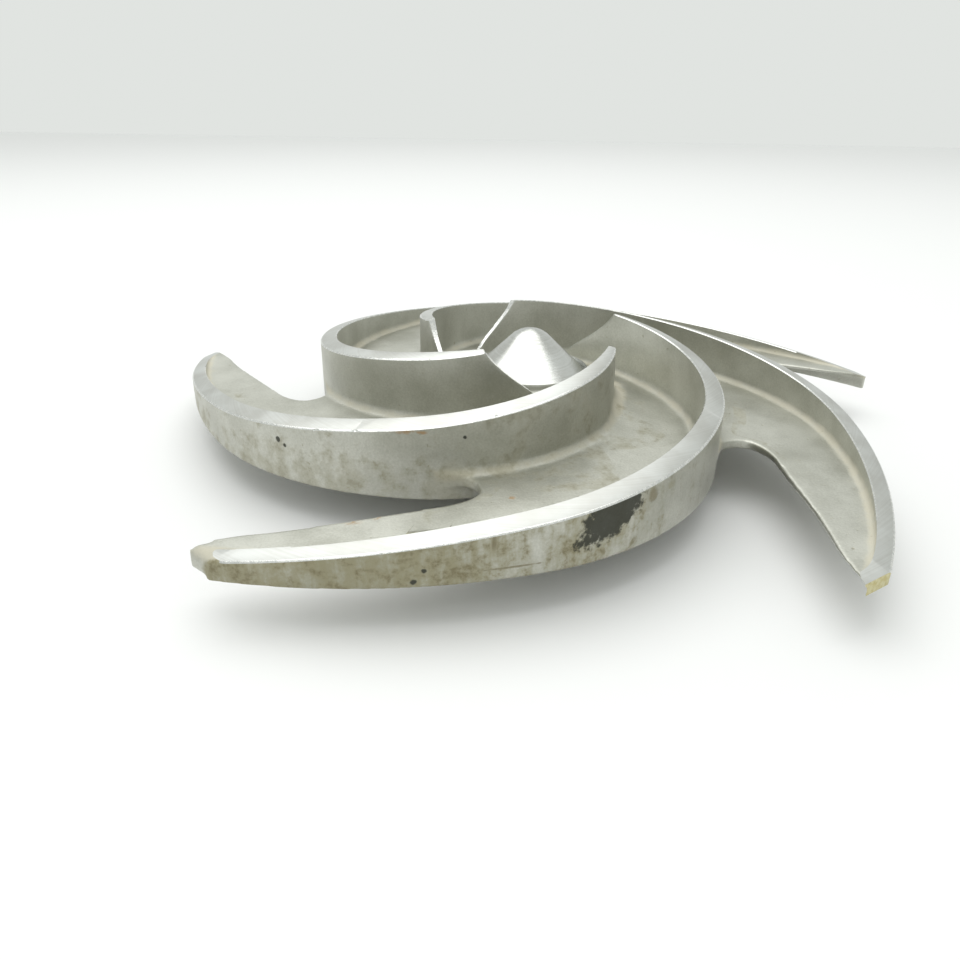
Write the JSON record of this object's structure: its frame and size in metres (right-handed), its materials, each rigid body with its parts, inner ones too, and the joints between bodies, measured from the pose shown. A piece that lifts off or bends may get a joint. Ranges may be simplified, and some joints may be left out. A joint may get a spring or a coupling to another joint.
{
  "type": "pump impeller",
  "caption": "Semi-open cast steel pump impeller: backward-swept vanes on a scalloped, star-shaped back shroud with a turned nose and a blind shaft bore.",
  "frame": {"origin": "on the shaft axis, at the flat inner end of the blind shaft bore", "axes": "+Z along the shaft axis towards the nose; the impeller lies on its hub's back face, which faces -Z"},
  "size_m": [0.3163, 0.3042, 0.0535],
  "materials": {
    "cast_stainless_steel": "satin"
  },
  "bodies": {
    "root": {"impeller": "cast_stainless_steel"}
  },
  "joints": []
}
